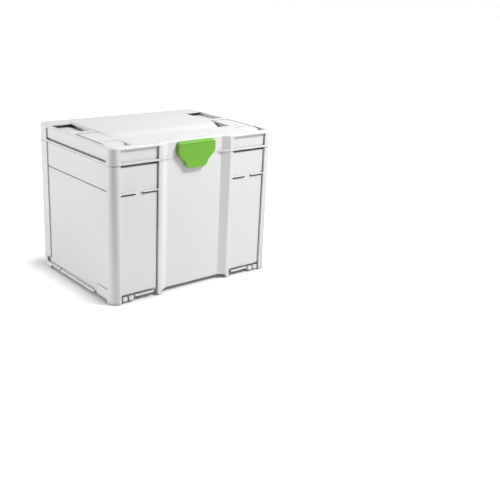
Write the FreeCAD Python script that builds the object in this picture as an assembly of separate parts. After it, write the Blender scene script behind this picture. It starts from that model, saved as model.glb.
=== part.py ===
import FreeCAD, Part
import math
import os

# Stackable tool case: a moulded bin with a hinged lid, a folding carry handle let into
# the lid, and a T-shaped rotary latch on the lid's front. Millimetres. The origin is at
# the middle of the footprint on the ground, +X to the right, +Y to the rear, +Z up.

V = FreeCAD.Vector
X_AXIS = V(1, 0, 0)
Y_AXIS = V(0, 1, 0)
Z_AXIS = V(0, 0, 1)

# Overall size and wall
case_width = 396.0
case_depth = 296.0
case_height = 315.0
corner_radius = 16.0
wall = 3.0
lid_height = 35.0
parting_gap = 0.3
base_height = 9.0
floor_thickness = 3.0

# Corner columns and the recessed panels between them
front_column_width = 20.5
side_front_column_width = 20.0
side_rear_column_width = 38.0
rear_column_width = 34.0
front_panel_recess = 4.0
side_panel_recess = 3.0
rear_wall_recess = 5.0
rear_panel_recess = 7.0
edge_round = 1.0

# Bay for the latch in the middle of the front, and the pilasters beside it
bay_back_width = 134.0
bay_front_width = 168.0
bay_depth = 10.0
bay_round = 4.5
pilaster_width = 8.5
pilaster_foot_lift = 2.0

# Bottom edge of the front and the stacking pegs there
front_panel_bottom = 17.5
base_recess_depth = 9.0
lip_height = 4.0
lip_set_back = 2.5
lip_inner_x = 101.0
lip_outer_x = 145.0
peg_width = 11.5
peg_height = 9.0
peg_bottom = 3.5
peg_set_back = 0.5
peg_spacing = 14.5
peg_first_x = 168.5
peg_edge_round = 2.5

# Narrow grooves along the borders of the front panels and the lid's front fields
border_groove_width = 1.6
border_groove_depth = 3.2
under_ledge_groove_height = 5.0
under_ledge_groove_depth = 8.0
groove_lining = 2.8
lid_field_groove_width = 1.4
lid_field_groove_depth = 1.2

# Ribs that hold a card against the front panels
card_rib_top = 225.0
card_rib_height = 2.6
card_rib_reach = 3.6
card_slot_height = 3.6
card_slot_depth = 7.0
card_rib_gap_outer_x = 143.0
card_rib_gap_inner_x = 129.0
side_line_height = 226.5
side_line_width = 2.4
side_line_depth = 3.0

# Guide groove and rail along the foot of each side
guide_groove_bottom = 11.0
guide_groove_height = 13.0
guide_groove_depth = 6.0
guide_groove_front_y = -75.0
guide_groove_rear_y = 126.0
guide_rail_height = 5.0
guide_rail_notch_y = 64.0
guide_rail_notch_width = 4.0
guide_slot_y = -83.0
guide_slot_width = 3.5
guide_slot_top = 27.5
guide_slot_depth = 4.5
side_block_top = 29.0
side_block_rear_y = -87.0

# Stacking feet under the floor
foot_width = 40.0
foot_length = 24.0
foot_inset_x = 31.5
foot_front_inset_y = 16.5
foot_rear_inset_y = 46.0
foot_chamfer = 2.0

# Corner tabs of the lid's ledge over the bay
ledge_tip_width = 112.0

# Pocket in the bay that the latch reaches over
catch_inner_radius = 31.5
catch_outer_radius = 40.0
catch_depth = 3.0
catch_half_angle = 34.0

# Lid
ledge_height = 4.0
lid_top_round = 4.0
panel_rise = 1.0
lid_field_top_drop = 5.0
side_slot_height = 3.6
side_slot_depth = 7.0
lid_side_top_drop = 4.5
rear_strip_line_y = 118.0
strip_groove_width = 1.6
strip_groove_depth = 1.5
skirt_depth = 4.5
skirt_thickness = 1.6
skirt_clearance = 0.6
lid_pocket_floor_wall = 2.4

# Centre panel of the lid
panel_nose_top_y = -27.0
panel_nose_foot_y = -53.0
panel_nose_radius = 26.0
panel_nose_side_slope = 5.0

# Pockets in the lid for the feet of a case above
pocket_depth = 8.0
pocket_rim_width = 5.0
rear_pocket_rear_y = 104.0
rear_pocket_flat_y = 52.0
rear_pocket_front_y = 18.0
pocket_undercut = 15.0
pocket_undercut_side = 7.0
pocket_undercut_drop = 5.0
pocket_undercut_roof = 2.6

# Carry handle
handle_depth = 12.5
handle_clearance = 0.8
arm_gap = 2.8
handle_floor_clearance = 1.5
arm_width = 44.5
arm_side_wall = 2.4
arm_rear_y = -2.5
arm_rear_edge = 1.5
arm_front_y = -123.0
arm_nose_start_y = -103.0
arm_nose_radius = 50.0
arm_tip_height = 4.0
arm_tip_round = 4.0
arm_hollow_front_y = -102.0
recess_front_y = -134.0
bar_front_y = -88.0
bar_rear_y = -63.0
bar_round = 4.5
arm_line_y = -86.0
arm_line_width = 1.2
arm_line_depth = 1.0
arm_line_length = 30.0
handle_inner_corner = 9.0
handle_pin_radius = 2.5
handle_pin_clearance = 0.06
handle_pin_fit = 0.02
handle_hollow_wall = 2.6
handle_hollow_depth = 8.0
pin_end_bite = 3.0
pin_outer_bite = 1.7

# Hinges
hinge_offset_x = 100.0
hinge_width = 62.0
knuckle_radius = 5.0
knuckle_clearance = 0.35
lid_knuckle_width = 24.0
hinge_pin_radius = 2.0
hinge_pin_clearance = 0.05
hinge_pin_fit = 0.02
hinge_plate_thickness = 2.6
hinge_plate_height = 21.0
hinge_plate_clearance = 0.15
hinge_lid_bevel_angle = 52.0
hinge_screw_radius = 1.6
hinge_screw_head_radius = 3.2
hinge_screw_length = 7.0
hinge_screw_spacing = 40.0
hinge_screw_drop = 15.0
screw_head_height = 1.6
screw_fit = 0.02

# Rotary latch
latch_pivot_drop = 17.5
latch_half_width = 46.0
latch_top_rise = 13.5
latch_stem_reach = 41.0
latch_stem_half_width = 24.0
latch_shoulder_drop = 11.0
latch_neck_half_width = 29.0
latch_neck_drop = 28.0
latch_thickness = 8.3
latch_back_clearance = 0.3
latch_top_bevel = 5.0
latch_edge_bevel = 1.4
latch_shell_wall = 2.2
latch_hub_radius = 9.0
latch_hub_rim_radius = 13.5
latch_hook_radius = 36.0
latch_hook_thickness = 2.0
latch_hook_half_angle = 26.0
bush_radius = 11.0
bush_flange_radius = 13.0
bush_flange_thickness = 1.5
bush_fit = 0.02
hub_running_clearance = 0.08
latch_square_size = 10.0
cam_radius = 12.5
cam_thickness = 4.0
cam_clearance = 0.3
cam_notch_radius = 2.4
cam_square_fit = 0.03
latch_screw_radius = 2.0
latch_screw_length = 12.0
latch_screw_head_radius = 5.0
latch_screw_head_height = 2.2
spring_thickness = 0.8
spring_width = 2.8
spring_bump_half_width = 3.6
spring_bump_clearance = 0.1
spring_drop = 1.2
spring_tab_size = 6.4
spring_screw_x = 21.0
spring_screw_radius = 1.25
spring_screw_head_radius = 2.4
spring_screw_length = 5.5
spring_boss_height = 4.0
cover_half_width = 31.0
cover_bottom_lift = 0.5
cover_top_clearance = 0.4
cover_depth = 10.0
cover_boss_height = 1.8
cover_wall = 1.8
cover_lug_width = 9.0
cover_lug_thickness = 2.4
cover_screw_radius = 1.5
cover_screw_head_radius = 2.9
cover_screw_length = 6.0

# Values worked out from the sizes above
half_width = case_width / 2
parting_height = case_height - lid_height
front_y = -case_depth / 2
rear_y = case_depth / 2
body_top = parting_height - parting_gap / 2
lid_bottom = parting_height + parting_gap / 2
rim_top = case_height - panel_rise
inner_floor = base_height + floor_thickness
front_column_x = half_width - front_column_width
pilaster_outer_x = bay_front_width / 2 + pilaster_width
side_front_y = front_y + side_front_column_width
side_rear_y = rear_y - side_rear_column_width
rear_column_x = half_width - rear_column_width
bay_back_y = front_y + bay_depth
hinge_y = rear_y - rear_wall_recess
hinge_inner_x = hinge_offset_x - hinge_width / 2 - 5.0
hinge_outer_x = hinge_offset_x + hinge_width / 2 + 5.0
ledge_top = parting_height + ledge_height
pivot_z = case_height - latch_pivot_drop
arm_outer_x = half_width - side_panel_recess - arm_side_wall - arm_gap
arm_inner_x = arm_outer_x - arm_width
handle_top = rim_top
handle_bottom = handle_top - handle_depth
recess_floor = handle_bottom - handle_floor_clearance
arm_end_radius = handle_depth / 2
handle_pivot_y = arm_rear_y - arm_end_radius
handle_pivot_z = handle_top - arm_end_radius
recess_outer_x = arm_outer_x + arm_gap
recess_inner_x = arm_inner_x - handle_clearance
recess_rear_y = arm_rear_y + arm_gap
panel_width = 2 * recess_inner_x
pocket_wall_x = half_width - pocket_rim_width
pocket_floor = rim_top - pocket_depth
BIG = 600.0


def box(x0, x1, y0, y1, z0, z1):
    """A block between two corners, given in any order."""
    low = V(min(x0, x1), min(y0, y1), min(z0, z1))
    return Part.makeBox(abs(x1 - x0), abs(y1 - y0), abs(z1 - z0), low)


def mirrored(shape):
    """The same shape on the other side of the case's middle plane."""
    return shape.mirror(V(0, 0, 0), X_AXIS)


def pair(shape):
    """A shape and its mirror image."""
    return [shape, mirrored(shape)]


def rounded_wire(corners, plane="xy"):
    """A closed outline through corners (a, b, radius), each corner turned by an arc."""
    count = len(corners)
    spots = []
    for here in range(count):
        a = V(corners[here][0], corners[here][1], 0)
        before = V(corners[here - 1][0], corners[here - 1][1], 0)
        after = V(corners[(here + 1) % count][0], corners[(here + 1) % count][1], 0)
        radius = corners[here][2]
        to_before = (before - a).normalize()
        to_after = (after - a).normalize()
        opening = to_before.getAngle(to_after)
        if radius < 1e-6 or abs(opening - math.pi) < 1e-6:
            spots.append((a, None, a))
            continue
        reach = radius / math.tan(opening / 2)
        bisector = (to_before + to_after).normalize()
        centre = a + bisector * (radius / math.sin(opening / 2))
        spots.append((a + to_before * reach, centre - bisector * radius, a + to_after * reach))

    def place(point):
        if plane == "xy":
            return V(point.x, point.y, 0)
        if plane == "xz":
            return V(point.x, 0, point.y)
        return V(0, point.x, point.y)

    edges = []
    for here in range(count):
        start, middle, end = spots[here]
        if middle is not None:
            edges.append(Part.Arc(place(start), place(middle), place(end)).toShape())
        following = spots[(here + 1) % count][0]
        if (following - end).Length > 1e-6:
            edges.append(Part.LineSegment(place(end), place(following)).toShape())
    return Part.Wire(edges)


def prism_z(corners, z0, z1):
    """A plan outline carried straight up from z0 to z1."""
    face = Part.Face(rounded_wire(corners, "xy"))
    face.translate(V(0, 0, z0))
    return face.extrude(V(0, 0, z1 - z0))


def prism_y(corners, y0, y1):
    """An outline in x and z carried back from y0 to y1."""
    face = Part.Face(rounded_wire(corners, "xz"))
    face.translate(V(0, y0, 0))
    return face.extrude(V(0, y1 - y0, 0))


def prism_x(corners, x0, x1):
    """An outline in y and z carried sideways from x0 to x1."""
    face = Part.Face(rounded_wire(corners, "yz"))
    face.translate(V(x0, 0, 0))
    return face.extrude(V(x1 - x0, 0, 0))


def rod_x(radius, x0, x1, y, z):
    """A round bar along X."""
    return Part.makeCylinder(radius, x1 - x0, V(x0, y, z), X_AXIS)


def rod_y(radius, y0, y1, x, z):
    """A round bar along Y."""
    return Part.makeCylinder(radius, y1 - y0, V(x, y0, z), Y_AXIS)


def both_halves(right_half):
    """A plan outline from its right half, listed from the front centre to the rear."""
    left_half = [(-x, y, r) for x, y, r in reversed(right_half) if x > 1e-6]
    return right_half + left_half


def plain_outline(grow=0.0, corner=corner_radius):
    """The rounded rectangle that the columns lie on."""
    x = half_width + grow
    return [
        (x, front_y - grow, corner + grow),
        (x, rear_y + grow, corner + grow),
        (-x, rear_y + grow, corner + grow),
        (-x, front_y - grow, corner + grow),
    ]


def panelled_outline(soft):
    """The plan section with its bay, panels and columns; soft is the corners' rounding."""
    bay_soft = bay_round if soft > 0 else 0.0
    side_x = half_width - side_panel_recess
    panel_y = front_y + front_panel_recess
    rear_panel_y = rear_y - rear_panel_recess
    right_half = [
        (0.0, bay_back_y, 0.0),
        (bay_back_width / 2, bay_back_y, bay_soft),
        (bay_front_width / 2, front_y, bay_soft),
        (pilaster_outer_x, front_y, soft),
        (pilaster_outer_x, panel_y, soft),
        (front_column_x, panel_y, soft),
        (front_column_x, front_y, soft),
        (half_width, front_y, corner_radius),
        (half_width, side_front_y, soft),
        (side_x, side_front_y, soft),
        (side_x, side_rear_y, soft),
        (half_width, side_rear_y, soft),
        (half_width, rear_y, corner_radius),
        (rear_column_x, rear_y, soft),
        (rear_column_x, rear_panel_y, soft),
        (hinge_outer_x, rear_panel_y, soft),
        (hinge_outer_x, hinge_y, soft),
        (hinge_inner_x, hinge_y, soft),
        (hinge_inner_x, rear_panel_y, soft),
        (0.0, rear_panel_y, 0.0),
    ]
    return both_halves(right_half)


def inner_plan(inset):
    """The face inside the panelled outline, one wall thickness in."""
    face = Part.Face(rounded_wire(panelled_outline(0.0), "xy"))
    return face.makeOffset2D(-inset, 2)


def raise_face(face, z0, z1):
    """A flat face carried from z0 to z1."""
    lifted = face.copy()
    lifted.translate(V(0, 0, z0))
    return lifted.extrude(V(0, 0, z1 - z0))


def bay_cutter(z0, z1):
    """The slope-sided bay in the front, from z0 to z1."""
    corners = [
        (-bay_back_width / 2, bay_back_y, bay_round),
        (-bay_front_width / 2, front_y, bay_round),
        (-bay_front_width / 2 - 40, front_y, 0.0),
        (-bay_front_width / 2 - 40, front_y - 20, 0.0),
        (bay_front_width / 2 + 40, front_y - 20, 0.0),
        (bay_front_width / 2 + 40, front_y, 0.0),
        (bay_front_width / 2, front_y, bay_round),
        (bay_back_width / 2, bay_back_y, bay_round),
    ]
    return prism_z(corners, z0, z1)


def rear_bevel(angle_degrees, upward):
    """The wedge behind the hinge axis that a turning lid needs."""
    reach = rear_wall_recess + 5.0
    rise = reach * math.tan(math.radians(angle_degrees))
    tip = parting_height
    side = rise if upward else -rise
    corners = [(hinge_y, tip, 0), (hinge_y + reach, tip + side, 0), (hinge_y + reach, tip - side * 0.2, 0),
               (hinge_y, tip - side * 0.2, 0)]
    return prism_x(corners, -BIG / 2, BIG / 2)


def hinge_barrel(radius, centre_x, x0, x1):
    """A round bar about the lid's axis, between two places beside a hinge's middle."""
    return rod_x(radius, centre_x + x0, centre_x + x1, hinge_y, parting_height)


def case_body():
    """The bin: columns, panels, latch bay, guide grooves, feet and hinge seats."""
    outer = prism_z(panelled_outline(edge_round), base_height, body_top)
    recess = pair(box(pilaster_outer_x, front_column_x, front_y - 1, front_y + base_recess_depth,
                      base_height - 1, front_panel_bottom))
    outer = outer.cut(recess)

    side_blocks = pair(box(half_width - side_panel_recess - 1, half_width, side_front_y - 2,
                           side_block_rear_y, base_height, side_block_top))
    rails = pair(box(half_width - guide_groove_depth - 1, half_width, guide_groove_front_y,
                     side_rear_y + 2, guide_groove_bottom - guide_rail_height, guide_groove_bottom + 1))
    linings = pair(box(half_width - guide_groove_depth - wall, half_width - side_panel_recess - 1,
                       guide_groove_front_y - wall, guide_groove_rear_y + wall, base_height,
                       guide_groove_bottom + guide_groove_height + wall))
    side_inner_x = half_width - side_panel_recess - side_line_depth - groove_lining
    linings += pair(box(side_inner_x, half_width - side_panel_recess - 1, side_front_y - 5,
                        side_rear_y + wall, side_line_height - groove_lining,
                        side_line_height + side_line_width + groove_lining))
    outer = outer.fuse(side_blocks + rails)

    inside = raise_face(inner_plan(wall), inner_floor, body_top + 10)
    inside = inside.cut(Part.makeCompound(linings + front_linings()))
    body = outer.cut(inside)

    columns = column_feet()
    body = body.fuse(columns + pilaster_feet() + stacking_feet() + front_pegs() + front_lips())

    guide = box(half_width - guide_groove_depth, half_width + 5, guide_groove_front_y,
                guide_groove_rear_y, guide_groove_bottom, guide_groove_bottom + guide_groove_height)
    notch = box(half_width - guide_groove_depth, half_width + 5, guide_rail_notch_y,
                guide_rail_notch_y + guide_rail_notch_width, guide_groove_bottom - guide_rail_height - 1,
                guide_groove_bottom + 1)
    slot = box(half_width - guide_slot_depth, half_width + 5, guide_slot_y - guide_slot_width / 2,
               guide_slot_y + guide_slot_width / 2, base_height - 1, guide_slot_top)
    line = box(half_width - side_panel_recess - side_line_depth, half_width - side_panel_recess + 0.5,
               side_front_y, side_rear_y, side_line_height, side_line_height + side_line_width)
    cuts = []
    for shape in [guide, notch, slot, line] + panel_grooves():
        cuts += pair(shape)
    body = body.cut(cuts)

    body = body.fuse(card_ribs())
    body = body.fuse(catch_backing()).cut(catch_pocket())
    return hinge_seats(body)


def panel_grooves():
    """Grooves up both sides of the right front panel, under the lid's ledge and under the ribs."""
    panel_y = front_y + front_panel_recess
    y0 = panel_y - 0.5
    y1 = panel_y + border_groove_depth
    low = front_panel_bottom
    width = border_groove_width
    grooves = [
        box(pilaster_outer_x, pilaster_outer_x + width, y0, y1, low, body_top + 1),
        box(front_column_x - width, front_column_x, y0, y1, low, body_top + 1),
        box(pilaster_outer_x, front_column_x, y0, panel_y + under_ledge_groove_depth,
            body_top - under_ledge_groove_height, body_top + 1),
    ]
    rib_low = card_rib_top - card_rib_height
    for x0, x1 in card_rib_spans():
        grooves.append(box(x0, x1, y0, panel_y + card_slot_depth, rib_low - card_slot_height, rib_low))
    return grooves


def front_linings():
    """The thicker inner wall behind the grooves and the base recess of both front panels."""
    panel_y = front_y + front_panel_recess
    inner = panel_y + wall
    deep = panel_y + border_groove_depth + groove_lining
    width = border_groove_width + groove_lining
    rib_low = card_rib_top - card_rib_height
    z0 = inner_floor - 1
    linings = [
        box(pilaster_outer_x - 1, pilaster_outer_x + width, inner - 1, deep, z0, body_top + 11),
        box(front_column_x - width, front_column_x + 4, inner - 1, deep, z0, body_top + 11),
        box(pilaster_outer_x - 3, front_column_x + 3, inner - 1,
            panel_y + under_ledge_groove_depth + groove_lining,
            body_top - under_ledge_groove_height - groove_lining, body_top + 11),
        box(pilaster_outer_x - 3, front_column_x + 3, inner - 1, panel_y + card_slot_depth + groove_lining,
            rib_low - card_slot_height - groove_lining, rib_low + groove_lining),
        box(pilaster_outer_x, front_column_x, inner - 1, front_y + base_recess_depth + wall, z0,
            front_panel_bottom + wall),
    ]
    result = []
    for lining in linings:
        result += pair(lining)
    return result


def card_rib_spans():
    """Where the two ribs of the right front panel lie along X."""
    return ((pilaster_outer_x, card_rib_gap_inner_x), (card_rib_gap_outer_x, front_column_x))


def front_lips():
    """The narrow strip low on the front, between the pegs and each pilaster."""
    x0 = lip_inner_x
    strip = box(x0, lip_outer_x, front_y + lip_set_back, front_y + base_recess_depth + 1, base_height,
                base_height + lip_height)
    return pair(strip)


def column_feet():
    """The four corner columns carried down to the ground, rounded underneath."""
    feet = []
    for x_in, y_in, side_y in ((front_column_x, side_front_y, -1), (rear_column_x, side_rear_y, 1)):
        block = prism_z(plain_outline(), 0, base_height + 1)
        block = block.common(box(x_in, half_width + 1, y_in, side_y * (rear_y + 1), -1, base_height + 2))
        bottom = [e for e in block.Edges
                  if abs(e.BoundBox.ZMin) < 0.01 and e.BoundBox.ZMax < 0.01]
        block = block.makeChamfer(1.5, bottom)
        feet += pair(block)
    return feet


def pilaster_feet():
    """The pilasters beside the bay carried down to just above the ground."""
    half = pilaster_width / 2
    middle = bay_front_width / 2 + half
    corners = [
        (front_y, base_height + 1, 0),
        (front_y, pilaster_foot_lift, 2.0),
        (front_y + bay_depth, pilaster_foot_lift, 2.0),
        (front_y + bay_depth, base_height + 1, 0),
    ]
    foot = prism_x(corners, middle - half, middle + half)
    return pair(foot)


def stacking_feet():
    """Feet under the floor that drop into the pockets of a lid below."""
    x1 = half_width - foot_inset_x + foot_width / 2 - 6.0
    feet = []
    for y in (front_y + foot_front_inset_y + foot_length / 2, rear_y - foot_rear_inset_y - foot_length / 2):
        block = box(x1 - foot_width, x1, y - foot_length / 2, y + foot_length / 2, 0, base_height + 1)
        bottom = [e for e in block.Edges if e.BoundBox.ZMax < 0.01]
        feet += pair(block.makeChamfer(foot_chamfer, bottom))
    return feet


def front_pegs():
    """Rounded pegs low on the front, beside each front column."""
    pegs = []
    for number in range(2):
        x = peg_first_x - number * peg_spacing
        y0 = front_y + peg_set_back
        block = box(x - peg_width / 2, x + peg_width / 2, y0, front_y + base_recess_depth + 1,
                    peg_bottom, peg_bottom + peg_height)
        front = [e for e in block.Edges if e.BoundBox.YMax < y0 + 0.01]
        pegs += pair(block.makeFillet(peg_edge_round, front))
    return pegs


def card_ribs():
    """Two short ribs across each front panel, over the slots for a card."""
    ribs = []
    panel_y = front_y + front_panel_recess
    low = card_rib_top - card_rib_height
    for x0, x1 in card_rib_spans():
        rib = box(x0 - 0.3, x1 + 0.3, panel_y - card_rib_reach, panel_y + 1, low, card_rib_top)
        free_x = x1 + 0.3 if x0 < card_rib_gap_inner_x - 1 else x0 - 0.3
        tip = [e for e in rib.Edges if abs(e.BoundBox.XMin - free_x) < 0.01
               and abs(e.BoundBox.XMax - free_x) < 0.01 and e.BoundBox.YMax < panel_y - card_rib_reach + 0.01]
        ribs += pair(rib.makeFillet(2.0, tip))
    return ribs


def ledge_corner(z0, z1):
    """The three-cornered fill in the bay's right corner, in plan from z0 to z1."""
    corners = [
        (ledge_tip_width / 2, bay_back_y, 0),
        (bay_front_width / 2, front_y, 0),
        (bay_front_width / 2, bay_back_y + 1, 0),
        (ledge_tip_width / 2, bay_back_y + 1, 0),
    ]
    return prism_z(corners, z0, z1)


def sector_ring(inner, outer, half_angle, y0, y1):
    """Part of a ring about the latch's axis, spread equally either side of straight down."""
    ring = rod_y(outer, y0, y1, 0, pivot_z).cut(rod_y(inner, y0 - 1, y1 + 1, 0, pivot_z))
    reach = outer * 2
    side = reach * math.tan(math.radians(half_angle))
    wedge = prism_y([(0, pivot_z, 0), (side, pivot_z - reach, 0), (-side, pivot_z - reach, 0)], y0, y1)
    return ring.common(wedge)


def catch_pocket():
    """The curved pocket in the bay whose upper edge is the latch's catch."""
    return sector_ring(catch_inner_radius, catch_outer_radius, catch_half_angle, bay_back_y - 1,
                       bay_back_y + catch_depth)


def catch_backing():
    """The thicker wall behind the catch pocket."""
    reach = catch_outer_radius + wall
    bottom = pivot_z - reach
    return box(-reach * 0.62, reach * 0.62, bay_back_y + wall - 0.5, bay_back_y + wall + catch_depth,
               bottom, body_top)


def hinge_centres():
    """The places of the two hinges along X."""
    return (-hinge_offset_x, hinge_offset_x)


def screw_places(centre_x):
    """The two screws of one hinge bracket."""
    z = parting_height - hinge_screw_drop
    return [(centre_x + side * hinge_screw_spacing / 2, z) for side in (-1, 1)]


def hinge_seats(body):
    """Bevels, pockets and thick pads at the top rear, where the hinges sit."""
    column_fill = pair(box(rear_column_x - wall, half_width - wall, hinge_y - wall, rear_y - 1,
                           parting_height - 14, body_top))
    outer_skin = prism_z(plain_outline(), parting_height - 14, body_top)
    fills = [shape.common(outer_skin) for shape in column_fill]
    body = body.fuse(fills).cut(rear_bevel(hinge_lid_bevel_angle, False))
    plate_bottom = parting_height - hinge_plate_height
    for centre_x in hinge_centres():
        half = hinge_width / 2
        pad = box(centre_x - half - 2, centre_x + half + 2, hinge_y - wall - hinge_plate_thickness,
                  hinge_y - wall + 0.5, plate_bottom - 3, body_top)
        ring = hinge_barrel(knuckle_radius + knuckle_clearance + wall, centre_x, -half - 2, half + 2)
        ring = ring.common(box(-BIG, BIG, hinge_y - 20, hinge_y - wall, 0, body_top))
        body = body.fuse([pad, ring])
        pocket = box(centre_x - half, centre_x + half, hinge_y - hinge_plate_thickness - hinge_plate_clearance,
                     rear_y + 1, plate_bottom, body_top + 1)
        barrel = hinge_barrel(knuckle_radius + knuckle_clearance, centre_x, -half, half)
        body = body.cut([pocket, barrel])
        for x, z in screw_places(centre_x):
            hole = rod_y(hinge_screw_radius + screw_fit, hinge_y - hinge_screw_length - 0.3, rear_y + 1, x, z)
            boss = rod_y(hinge_screw_radius + 2.2, hinge_y - hinge_screw_length - 1.8,
                         hinge_y - wall, x, z)
            body = body.fuse(boss).cut(hole)
    return body


def hinge_bracket(centre_x):
    """A plate with two knuckles, screwed to the body's rear wall."""
    half = hinge_width / 2 - hinge_plate_clearance
    plate = box(centre_x - half, centre_x + half, hinge_y - hinge_plate_thickness, hinge_y,
                parting_height - hinge_plate_height + hinge_plate_clearance, parting_height - 1)
    gap_half = lid_knuckle_width / 2 + knuckle_clearance
    knuckles = [hinge_barrel(knuckle_radius, centre_x, -half, -gap_half),
                hinge_barrel(knuckle_radius, centre_x, gap_half, half)]
    bracket = plate.fuse(knuckles)
    bracket = bracket.cut(hinge_barrel(knuckle_radius + knuckle_clearance, centre_x, -gap_half, gap_half))
    bracket = bracket.cut(hinge_barrel(hinge_pin_radius + hinge_pin_fit, centre_x, -half - 1, half + 1))
    for x, z in screw_places(centre_x):
        bracket = bracket.cut(rod_y(hinge_screw_radius + 0.2, hinge_y - 20, hinge_y + 20, x, z))
        bracket = bracket.cut(countersink(x, z, 0.05))
    return bracket


def countersink(x, z, extra):
    """The cone that a hinge screw's head fills, its wide end at the bracket's face."""
    return Part.makeCone(hinge_screw_radius + extra, hinge_screw_head_radius + extra, screw_head_height,
                         V(x, hinge_y - screw_head_height, z), Y_AXIS)


def hinge_screws():
    """Four countersunk screws, two in each bracket."""
    screws = []
    for centre_x in hinge_centres():
        for x, z in screw_places(centre_x):
            shank = rod_y(hinge_screw_radius, hinge_y - hinge_screw_length, hinge_y - screw_head_height, x, z)
            head = countersink(x, z, 0.0)
            slot = box(x - 2.0, x + 2.0, hinge_y - 0.7, hinge_y + 1, z - 0.4, z + 0.4)
            slot = slot.fuse(box(x - 0.4, x + 0.4, hinge_y - 0.7, hinge_y + 1, z - 2.0, z + 2.0))
            screws.append(shank.fuse(head).cut(slot))
    return Part.makeCompound(screws)


def hinge_pin(centre_x):
    """A steel pin through the three knuckles of one hinge."""
    half = hinge_width / 2 - hinge_plate_clearance - 0.3
    pin = hinge_barrel(hinge_pin_radius, centre_x, -half, half)
    ends = [e for e in pin.Edges if e.Curve.TypeId == "Part::GeomCircle"]
    return pin.makeChamfer(0.4, ends)


def panel_nose():
    """The centre panel's rounded front, sloping down into the finger trough."""
    levels = ((recess_floor - 0.5, 0.0), (recess_floor + 3.0, 0.16), (rim_top - 4.0, 0.62),
              (rim_top - 1.0, 0.9), (case_height, 1.0))
    wires = []
    for z, share in levels:
        x = panel_width / 2 - panel_nose_side_slope * share
        ease = share ** 1.6
        y = panel_nose_foot_y + (panel_nose_top_y - panel_nose_foot_y) * ease
        corners = [(x, 0.0, 0), (-x, 0.0, 0), (-x, y, panel_nose_radius), (x, y, panel_nose_radius)]
        wire = rounded_wire(corners, "xy")
        wire.translate(V(0, 0, z))
        wires.append(wire)
    return Part.makeLoft(wires, True, True)


def handle_recess(grow):
    """The hollow that the folded handle and the fingers need, grown by a wall."""
    top = case_height + 5
    floor = recess_floor - grow
    arms = pair(box(recess_inner_x - grow, recess_outer_x + grow, recess_front_y - grow,
                    recess_rear_y + grow, floor, top))
    middle = box(-recess_inner_x - 1, recess_inner_x + 1, bar_front_y - handle_clearance - grow,
                 grow, floor, top)
    return arms[0].fuse([arms[1], middle])


def pocket_volume(grow):
    """The rear corner pockets of the lid with their undercut edges, grown by a wall."""
    x0 = panel_width / 2 - grow
    x1 = pocket_wall_x + (grow if grow < 1 else 0)
    top = case_height + 5
    floor = pocket_floor - grow
    rear_corners = [
        (rear_pocket_rear_y + grow, top, 0),
        (rear_pocket_rear_y + grow, floor, 0),
        (rear_pocket_flat_y, floor, 0),
        (rear_pocket_front_y, rim_top - grow, 0),
        (rear_pocket_front_y, top, 0),
    ]
    rear = prism_x(rear_corners, x0, x1)
    roof = rim_top - pocket_undercut_roof
    deep = floor - pocket_undercut_drop
    side = box(x0 - pocket_undercut_side, x0 + 1, rear_pocket_flat_y - grow,
               rear_pocket_rear_y + pocket_undercut + grow, deep, roof)
    under = box(x0 - pocket_undercut_side, x1, rear_pocket_rear_y - grow,
                rear_pocket_rear_y + pocket_undercut + grow, deep, roof)
    return pair(rear) + pair(side.fuse(under))


def lid_outer():
    """The lid's outside: top edge rounded, fields, slots and bay cut in."""
    block = prism_z(plain_outline(), lid_bottom, rim_top).cut(bay_cutter(lid_bottom - 1, case_height + 5))
    block = block.removeSplitter()
    rim = [e for e in block.Edges if abs(e.BoundBox.ZMin - rim_top) < 0.01]
    block = block.makeFillet(lid_top_round, rim)

    field = box(pilaster_outer_x, front_column_x, front_y - 5, front_y + front_panel_recess,
                ledge_top, rim_top - lid_field_top_drop)
    field = soften_vertical(field, edge_round)
    side_panel = box(half_width - side_panel_recess, half_width + 5, side_front_y, side_rear_y,
                     ledge_top, rim_top - lid_side_top_drop)
    side_slot = box(half_width - side_slot_depth, half_width + 5, side_front_y, side_rear_y,
                    ledge_top, ledge_top + side_slot_height)
    field_y = front_y + front_panel_recess
    width = lid_field_groove_width
    field_grooves = [box(x, x + width, field_y - 0.5, field_y + lid_field_groove_depth, ledge_top,
                         rim_top - lid_field_top_drop)
                     for x in (pilaster_outer_x, front_column_x - width)]
    cuts = pair(field) + pair(side_panel) + pair(side_slot)
    cuts += pair(field_grooves[0]) + pair(field_grooves[1])
    rear_top = rim_top - lid_side_top_drop
    rear_zone = box(-rear_column_x, rear_column_x, hinge_y, rear_y + 5, lid_bottom - 1, rear_top)
    rear_panels = [box(-hinge_inner_x, hinge_inner_x, rear_y - rear_panel_recess, rear_y + 5,
                       lid_bottom - 1, rear_top)]
    rear_panels += pair(box(hinge_outer_x, rear_column_x, rear_y - rear_panel_recess, rear_y + 5,
                            lid_bottom - 1, rear_top))
    lid = block.cut(cuts + [rear_zone] + rear_panels)
    tabs = pair(ledge_corner(lid_bottom, ledge_top))
    return lid.fuse(tabs).cut(rear_bevel(hinge_lid_bevel_angle, True))


def soften_vertical(block, radius):
    """A block with its upright edges rounded."""
    upright = [e for e in block.Edges if e.BoundBox.XLength < 0.01 and e.BoundBox.YLength < 0.01]
    return block.makeFillet(radius, upright)


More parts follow.
